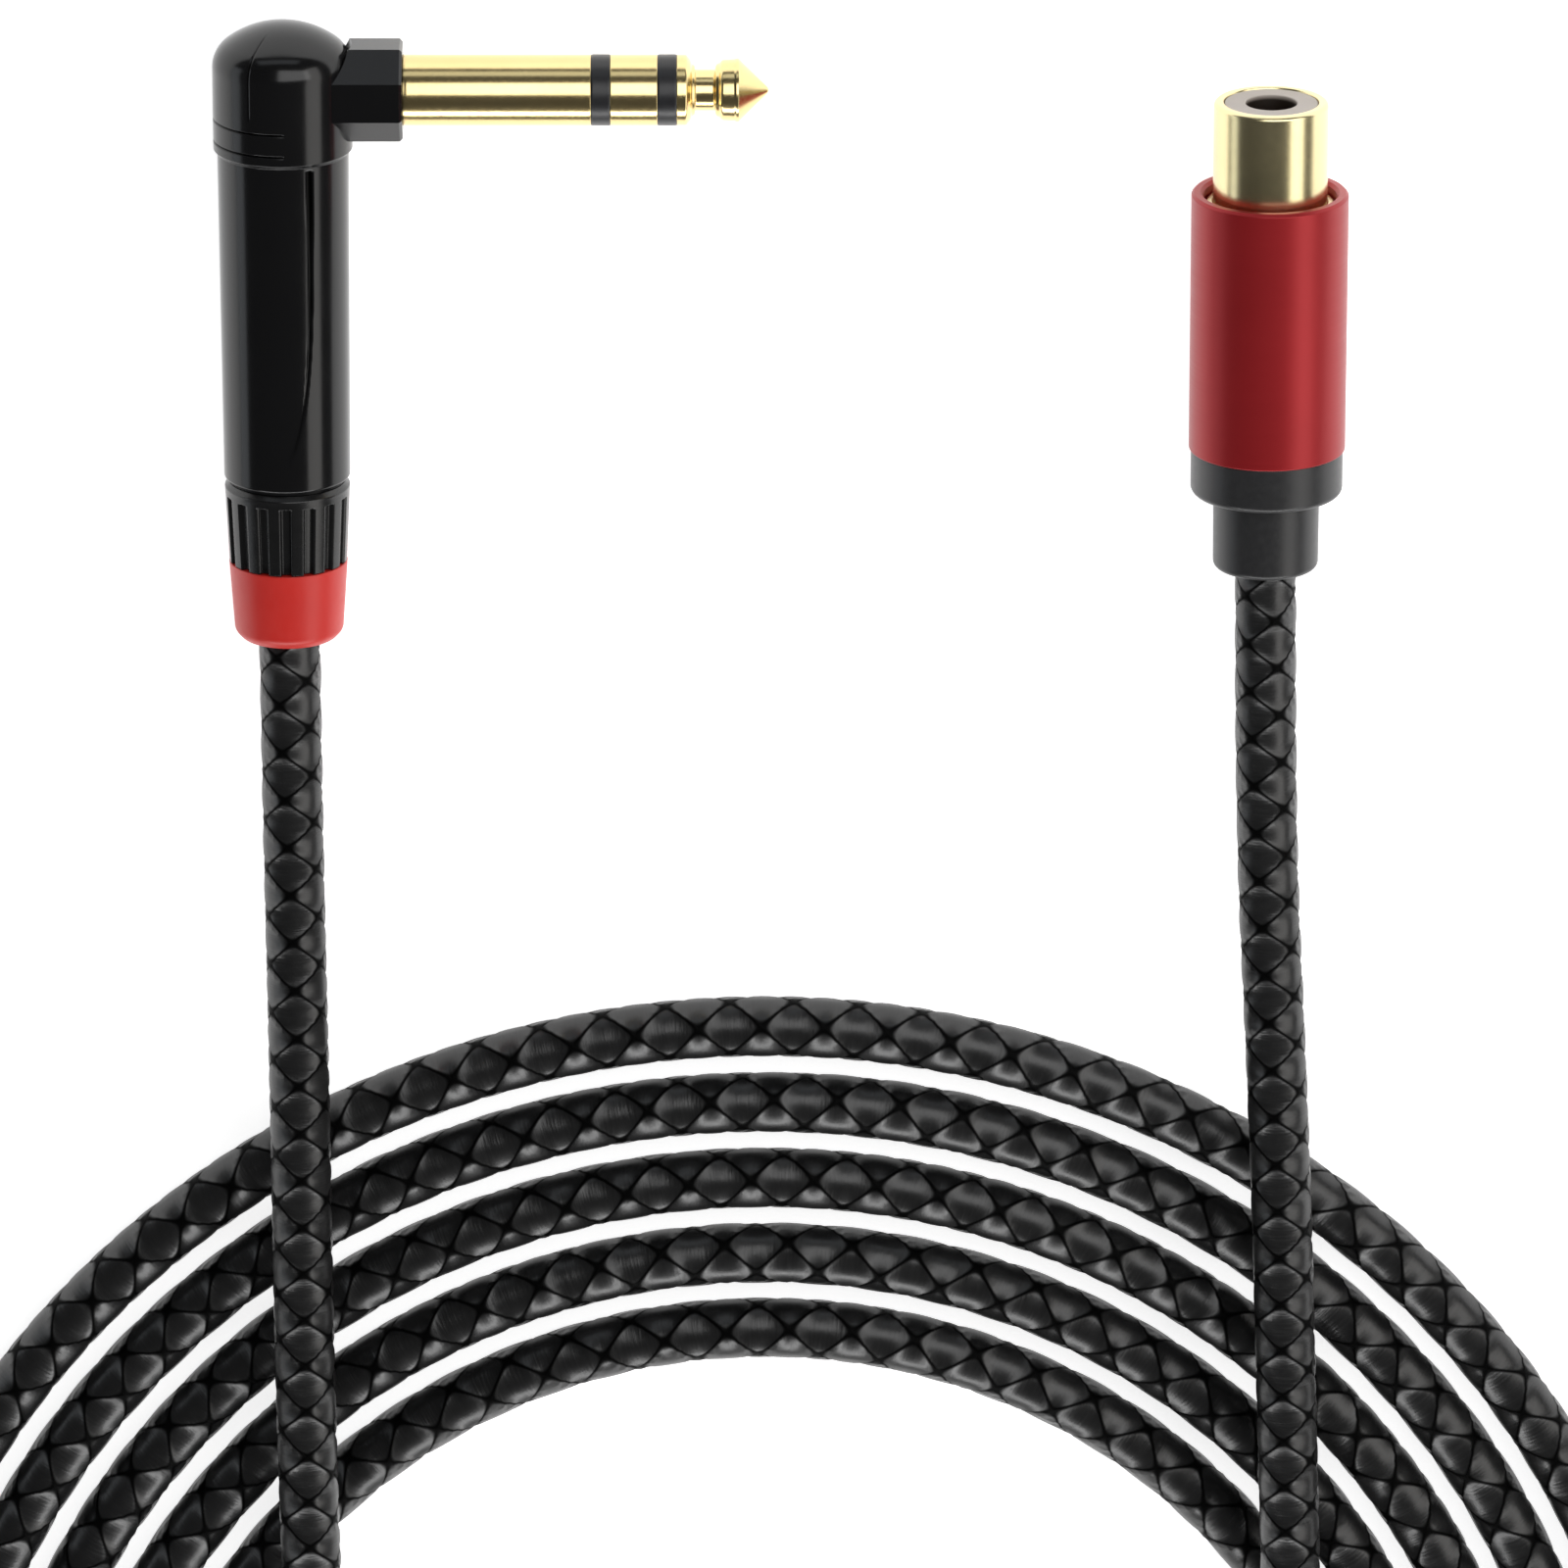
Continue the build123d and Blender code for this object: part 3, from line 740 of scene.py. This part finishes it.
def gland_nut():
    """The nut's outline, with its spigot inside the housing, and the ribs cut into its side."""
    stretch = [[37.0, 37.3], np.arange(37.46, 37.68, 0.04), np.arange(38.0, 43.6, 0.4)]
    side = [
        (BODY_END_R - 0.02 + (NUT_END_R - BODY_END_R) * (along - NUT_TOP) / (NUT_END - NUT_TOP), along, 0.0)
        for along in np.concatenate(stretch)
    ]
    corners = [(NUT_BORE_R, SPIGOT_TOP, 0.05), (SPIGOT_R, SPIGOT_TOP, 0.1), (SPIGOT_R, NUT_TOP, 0.05)]
    corners += [(5.25, NUT_TOP, 0.05), (BODY_END_R - 0.02, NUT_TOP + 0.45, 0.35)]
    corners += side
    corners += [(NUT_END_R, NUT_END - 0.1, 0.03), (NUT_END_R - 0.1, NUT_END, 0.03)]
    corners += [(NUT_SEAT_R, NUT_END, 0.03), (NUT_SEAT_R, NUT_SEAT, 0.03), (NUT_BORE_R, NUT_SEAT, 0.03)]
    return turned("gland_nut_ribbed", BODY, corners, columns=RIBS * 20, shape=rib_shape)


def satin_black():
    """Satin black nylon with a fine moulded grain."""
    material, nodes, links, shader = new_material("satin_black_nylon", (0.006, 0.006, 0.0063), 0.3)
    grain = noise(nodes, links, 900.0, 3.0)
    links.new(maths(nodes, links, "MULTIPLY_ADD", grain, 0.12, 0.20), shader.inputs["Roughness"])
    bumped(nodes, links, shader, grain, 0.05, 0.00002)
    return material


def ring_red():
    """Solid red moulded plastic, half matt, a little lighter where it is handled."""
    material, nodes, links, shader = new_material("red_ring_plastic", (0.62, 0.022, 0.012), 0.4)
    cloud = noise(nodes, links, 180.0, 3.0)
    colour = mixed(nodes, links, cloud, (0.52, 0.014, 0.009), (0.60, 0.022, 0.014))
    links.new(colour, shader.inputs["Base Color"])
    grain = noise(nodes, links, 1300.0, 3.0)
    links.new(maths(nodes, links, "MULTIPLY_ADD", grain, 0.14, 0.34), shader.inputs["Roughness"])
    bumped(nodes, links, shader, grain, 0.1, 0.00004)
    return material


black_satin = satin_black()
fitted(gland_nut(), black_satin, "gland", "nut_black", "gland_nut")
ring_outline = [
    (RING_BORE_R, RING_TOP, 0.05),
    (RING_SPIGOT_R, RING_TOP, 0.05),
    (RING_SPIGOT_R, NUT_END + 0.01, 0.03),
    (NUT_END_R + 0.02, NUT_END + 0.01, 0.10),
    (RING_END_R + 0.08, RING_END - 0.7, 0.9),
    (RING_END_R - 0.55, RING_END, 0.5),
    (RING_MOUTH_R, RING_END, 0.15),
]
fitted(turned("end_ring_red", BODY, ring_outline, columns=128), ring_red(), "gland", "ring_red", "end_ring")


# ---------------------------------------------------------------- phono socket
# A gold-plated brass barrel with a rolled mouth and a stop flange, filled by a grey-brown plastic
# insulator that holds the slotted centre contact behind a dark hole.
BARREL_R = 5.1
BORE_R = 4.15
BARREL_END = 9.3
FLANGE_R = 5.75
FLANGE_END = 9.9
ROOT_R = 5.45
ROOT_END = 15.0
THREAD_PITCH = 0.75
THREAD_DEPTH = 0.22
FACE_IN = 0.12
FACE_HOLE_R = 2.28
FACE_HOLE_END = 2.0
CONTACT_HOLE_R = 2.01

barrel_outline = [
    (BORE_R, 0.30, 0.1),
    (BORE_R + 0.10, 0.0, 0.12),
    (BARREL_R, 0.0, 0.85),
    (BARREL_R, BARREL_END, 0.12),
    (FLANGE_R, BARREL_END, 0.2),
    (FLANGE_R, FLANGE_END, 0.1),
    (ROOT_R, FLANGE_END, 0.05),
    (ROOT_R, ROOT_END, 0.2),
    (BORE_R, ROOT_END, 0.05),
]


def thread_shape(radius, along, turn):
    """A fine screw thread on the barrel's root, one turn each pitch."""
    on_root = smooth(radius, ROOT_R - 0.1, ROOT_R - 0.02)
    on_root = on_root * (1 - smooth(radius, ROOT_R + 0.05, ROOT_R + 0.1))
    wave = np.abs(((along / THREAD_PITCH + turn / (2 * np.pi)) % 1.0) - 0.5) * 2
    ends = smooth(along, FLANGE_END + 0.1, FLANGE_END + 0.4) * (1 - smooth(along, 14.6, 14.9))
    return radius - THREAD_DEPTH * on_root * wave * ends


def barrel():
    """The barrel's outline with its root divided finely enough to carry the thread."""
    root = [(ROOT_R, along, 0.0) for along in np.arange(FLANGE_END + 0.15, 14.8, 0.12)]
    corners = barrel_outline[:7] + root + barrel_outline[7:]
    return turned("socket_barrel_gold", SOCKET, corners, columns=128, shape=thread_shape)


def taupe_plastic():
    """Grey-brown moulded insulator, with shade painted down its hole."""
    material, nodes, links, shader = new_material("insulator_plastic", (0.40, 0.35, 0.31), 0.42)
    cloud = noise(nodes, links, 500.0, 3.0)
    face = mixed(nodes, links, cloud, (0.36, 0.31, 0.27), (0.42, 0.37, 0.33))
    split = add(nodes, "ShaderNodeSeparateXYZ")
    links.new(add(nodes, "ShaderNodeTexCoord").outputs["Object"], split.inputs["Vector"])
    # Painted shade: from 0.2 mm into the socket the colour darkens, and past 0.6 mm it is near black.
    deep, shallow = socket_mouth.y - 0.0006, socket_mouth.y - 0.0002
    hole_shade = ranged(nodes, links, split.outputs["Y"], deep, shallow, 1.0, 0.0)
    painted_hole_shade = add(nodes, "ShaderNodeMix", data_type="RGBA")
    links.new(hole_shade, painted_hole_shade.inputs["Factor"])
    links.new(face, painted_hole_shade.inputs["A"])
    painted_hole_shade.inputs["B"].default_value = (0.018, 0.011, 0.007, 1)
    links.new(painted_hole_shade.outputs["Result"], shader.inputs["Base Color"])
    bumped(nodes, links, shader, cloud, 0.1, 0.00004)
    return material


pale_gold = gold_material("pale_gold_plate", (0.74, 0.63, 0.34), (0.82, 0.73, 0.44), 0.24)
fitted(barrel(), pale_gold, "cable", "gold", "outer_contact")
insulator_outline = [
    (FACE_HOLE_R, FACE_IN, 0.12),
    (BORE_R - 0.01, FACE_IN, 0.08),
    (BORE_R - 0.01, ROOT_END, 0.05),
    (CONTACT_HOLE_R, ROOT_END, 0.03),
    (CONTACT_HOLE_R, FACE_HOLE_END, 0.03),
    (FACE_HOLE_R, FACE_HOLE_END, 0.03),
]
insulator = turned("socket_face_insulator", SOCKET, insulator_outline)
fitted(insulator, taupe_plastic(), "cable", "insulator_taupe", "face_insulator")


# ---------------------------------------------------------------- sleeve and boot
# The sleeve is turned aluminium, anodised red, and screws up to the barrel's flange. A stepped
# charcoal rubber boot is pressed into its back and slides with it when it is unscrewed.
SLEEVE_R = 7.0
SLEEVE_BORE_R = 5.9
SLEEVE_FRONT = 8.4
SLEEVE_END = 32.3
COLLAR_R = 6.8
COLLAR_END = 36.45
BOOT_R = 4.75
BOOT_END = 43.5
SEAT_R = 5.53
SEAT_TOP = 9.95
SEAT_END = 15.5
BOOT_TOP = 30.0
BOOT_HOLLOW_R = 4.0
BOOT_HOLLOW_END = 35.1
BOOT_NECK = 36.0
BOOT_BORE_R = 3.1
BOOT_MOUTH_R = 3.4

sleeve_outline = [
    (SLEEVE_BORE_R, SLEEVE_FRONT + 0.30, 0.08),
    (SLEEVE_BORE_R + 0.28, SLEEVE_FRONT, 0.08),
    (SLEEVE_R - 0.25, SLEEVE_FRONT, 0.08),
    (SLEEVE_R, SLEEVE_FRONT + 0.25, 0.12),
    (SLEEVE_R, SLEEVE_END, 0.12),
    (SLEEVE_BORE_R, SLEEVE_END, 0.05),
    (SLEEVE_BORE_R, SEAT_END, 0.05),
    (SEAT_R, SEAT_END, 0.05),
    (SEAT_R, SEAT_TOP, 0.05),
    (SLEEVE_BORE_R, SEAT_TOP, 0.05),
]
boot_outline = [
    (BOOT_HOLLOW_R, BOOT_TOP, 0.2),
    (SLEEVE_BORE_R - 0.01, BOOT_TOP, 0.2),
    (SLEEVE_BORE_R - 0.01, SLEEVE_END + 0.01, 0.03),
    (COLLAR_R, SLEEVE_END + 0.01, 0.12),
    (COLLAR_R, COLLAR_END, 0.6),
    (BOOT_R, COLLAR_END, 0.15),
    (BOOT_R - 0.03, BOOT_END, 0.7),
    (BOOT_MOUTH_R, BOOT_END, 0.1),
    (BOOT_BORE_R, BOOT_NECK, 0.2),
    (BOOT_HOLLOW_R, BOOT_HOLLOW_END, 0.2),
]


def anodised_red():
    """Satin red anodising over aluminium, with fine turning marks round it."""
    material, nodes, links, shader = new_material("red_anodised", (0.42, 0.014, 0.018), 0.38, 0.6)
    cloud = noise(nodes, links, 90.0, 2.0)
    colour = mixed(nodes, links, cloud, (0.30, 0.007, 0.010), (0.36, 0.010, 0.014))
    links.new(colour, shader.inputs["Base Color"])
    turning = noise(nodes, links, 60.0, 3.0, stretch=(1.0, 60.0, 1.0))
    links.new(maths(nodes, links, "MULTIPLY_ADD", turning, 0.10, 0.38), shader.inputs["Roughness"])
    shader.inputs["Coat Weight"].default_value = 0.2
    shader.inputs["Coat Roughness"].default_value = 0.30
    bumped(nodes, links, shader, turning, 0.08, 0.00003)
    return material


def charcoal_rubber():
    """Charcoal rubber with a fine even grain."""
    material, nodes, links, shader = new_material("charcoal_rubber", (0.020, 0.020, 0.021), 0.4)
    grain = noise(nodes, links, 1600.0, 3.0)
    colour = mixed(nodes, links, grain, (0.014, 0.014, 0.015), (0.020, 0.020, 0.021))
    links.new(colour, shader.inputs["Base Color"])
    links.new(maths(nodes, links, "MULTIPLY_ADD", grain, 0.14, 0.30), shader.inputs["Roughness"])
    bumped(nodes, links, shader, grain, 0.10, 0.00003)
    return material


red_sleeve = turned("sleeve_red", SOCKET, sleeve_outline, columns=144)
fitted(red_sleeve, anodised_red(), "socket_shell", "anodised_red", "sleeve")
boot = turned("boot_charcoal", SOCKET, boot_outline, columns=128)
fitted(boot, charcoal_rubber(), "socket_shell", "relief_charcoal", "strain_relief")


# ---------------------------------------------------------------- inside the two ends
# Tinned solder tags, turned liners, the clamp collet, the braided screen and the cores are the
# frame's own pieces, and only take their finishes here.
def plain_finish(name, first, second, roughness, metallic=0.0):
    """A finish with its colour clouded between two tones and a fine uneven roughness."""
    material, nodes, links, shader = new_material(name, first, roughness, metallic)
    cloud = noise(nodes, links, 800.0, 3.0)
    links.new(mixed(nodes, links, cloud, first, second), shader.inputs["Base Color"])
    links.new(maths(nodes, links, "MULTIPLY_ADD", cloud, 0.15, roughness - 0.07), shader.inputs["Roughness"])
    bumped(nodes, links, shader, cloud, 0.15, 0.00005)
    return material


def braided_copper():
    """Copper wires plaited round the cores: two crossing sets of fine ridges, with painted shade between
    them.
    """
    material, nodes, links, shader = new_material("braided_copper", (0.72, 0.40, 0.24), 0.3, 1.0)
    waves = []
    for slant in (0.8, -0.8):
        mapping = add(nodes, "ShaderNodeMapping")
        mapping.inputs["Rotation"].default_value = (0, 0, slant)
        links.new(add(nodes, "ShaderNodeTexCoord").outputs["Object"], mapping.inputs["Vector"])
        wave = add(nodes, "ShaderNodeTexWave")
        wave.inputs["Scale"].default_value = 900.0
        links.new(mapping.outputs["Vector"], wave.inputs["Vector"])
        waves.append(wave.outputs["Fac"])
    height = maths(nodes, links, "MAXIMUM", *waves)
    # Painted shade: the colour is darker in the low places between the wires.
    colour = mixed(nodes, links, height, (0.35, 0.17, 0.09), (0.80, 0.46, 0.28))
    links.new(colour, shader.inputs["Base Color"])
    bumped(nodes, links, shader, height, 0.5, 0.0001)
    return material


tinned = plain_finish("tinned_brass", (0.66, 0.65, 0.60), (0.78, 0.77, 0.74), 0.3, 1.0)
liner = plain_finish("liner_nylon", (0.80, 0.78, 0.70), (0.86, 0.84, 0.78), 0.45)
solder = plain_finish("solder_bright", (0.66, 0.67, 0.70), (0.80, 0.81, 0.83), 0.22, 1.0)
white_core = plain_finish("white_insulation", (0.78, 0.78, 0.74), (0.86, 0.86, 0.83), 0.35)
red_core = plain_finish("red_insulation", (0.50, 0.02, 0.02), (0.60, 0.03, 0.03), 0.35)
# The centre contact's gold is drawn dark: painted shade for its place deep in the hole.
painted_shade_gold = plain_finish("shaded_gold", (0.22, 0.14, 0.05), (0.30, 0.20, 0.08), 0.4, 1.0)
copper = braided_copper()
inner_finishes = {
    "tip_tag": tinned,
    "ring_tag": tinned,
    "sleeve_tag": tinned,
    "ground_tag": tinned,
    "ring_liner": liner,
    "tip_liner": liner,
    "clamp_collet": black_satin,
    "centre_contact": painted_shade_gold,
    "plug_screen": copper,
    "socket_screen": copper,
    "tip_core": white_core,
    "ring_core": red_core,
    "signal_core": white_core,
    "drain_core": red_core,
    "plug_solder": solder,
    "socket_solder": solder,
}
for node, finish in inner_finishes.items():
    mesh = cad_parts[node].data
    mesh.materials.clear()
    mesh.materials.append(finish)

socket_pieces = ["socket_barrel_gold", "socket_face_insulator", "sleeve_red", "boot_charcoal"]
socket_pieces += ["centre_contact", "ground_tag", "socket_screen"]
socket_pieces += ["signal_core", "drain_core", "socket_solder"]


# ---------------------------------------------------------------- floor and light
# A pale, faintly glowing studio floor. Large soft panels stand to the right and in front, weak
# ones to the left and behind, and a smaller one hangs low over the two connectors.
FLOOR_SIZE = 6.0
FLOOR_GLOW = 0.80
SURROUND_GLOW = 0.06


def pale_floor():
    """Near-white matt floor with the faintest mottling and a little light of its own."""
    material, nodes, links, shader = new_material("pale_floor", (0.86, 0.86, 0.86), 0.9)
    shader.inputs["Specular IOR Level"].default_value = 0.0
    shader.inputs["Emission Color"].default_value = (1, 1, 1, 1)
    shader.inputs["Emission Strength"].default_value = FLOOR_GLOW
    cloud = noise(nodes, links, 3.0, 2.0)
    colour = mixed(nodes, links, cloud, (0.84, 0.84, 0.84), (0.86, 0.86, 0.86))
    links.new(colour, shader.inputs["Base Color"])
    return material


half = FLOOR_SIZE / 2
floor_points = np.array([(-half, -half, 0), (half, -half, 0), (half, half, 0), (-half, half, 0)])
floor = mesh_piece("floor", floor_points, [(0, 1, 2, 3)])
floor.data.materials.append(pale_floor())


def soft_light(name, place, aim, size, radiance, colour=(1, 1, 1)):
    """A rectangular soft panel of a given brightness, unseen by the camera, facing an aim."""
    data = bpy.data.lights.new(name, "AREA")
    data.shape = "RECTANGLE"
    data.size, data.size_y = size
    data.energy = radiance * math.pi * size[0] * size[1]
    data.color = colour
    light = bpy.data.objects.new(name, data)
    light.location = place
    light.rotation_euler = (Vector(aim) - Vector(place)).to_track_quat("-Z", "Y").to_euler()
    light.visible_camera = False
    bpy.context.scene.collection.objects.link(light)


middle = (0.026, -0.06, 0.0)
soft_light("right_panel", (1.00, -0.10, 0.72), middle, (2.0, 0.60), 2.0, (1.0, 0.98, 0.95))
soft_light("front_panel", (0.05, -1.10, 0.50), middle, (1.8, 0.28), 7.5)
soft_light("left_panel", (-1.30, -0.05, 0.22), middle, (1.2, 0.40), 1.2, (0.90, 0.95, 1.0))
soft_light("back_panel", (-0.10, 1.20, 0.42), middle, (1.2, 0.35), 0.8, (0.90, 0.95, 1.0))
soft_light("low_overhead", (0.165, 0.17, 0.36), (0.165, 0.17, 0.0), (0.42, 0.28), 2.4)

world = bpy.data.worlds.new("surround")
world.use_nodes = True
world.node_tree.nodes["Background"].inputs["Color"].default_value = (1, 1, 1, 1)
world.node_tree.nodes["Background"].inputs["Strength"].default_value = SURROUND_GLOW
bpy.context.scene.world = world
bpy.context.scene.view_settings.view_transform = "Standard"
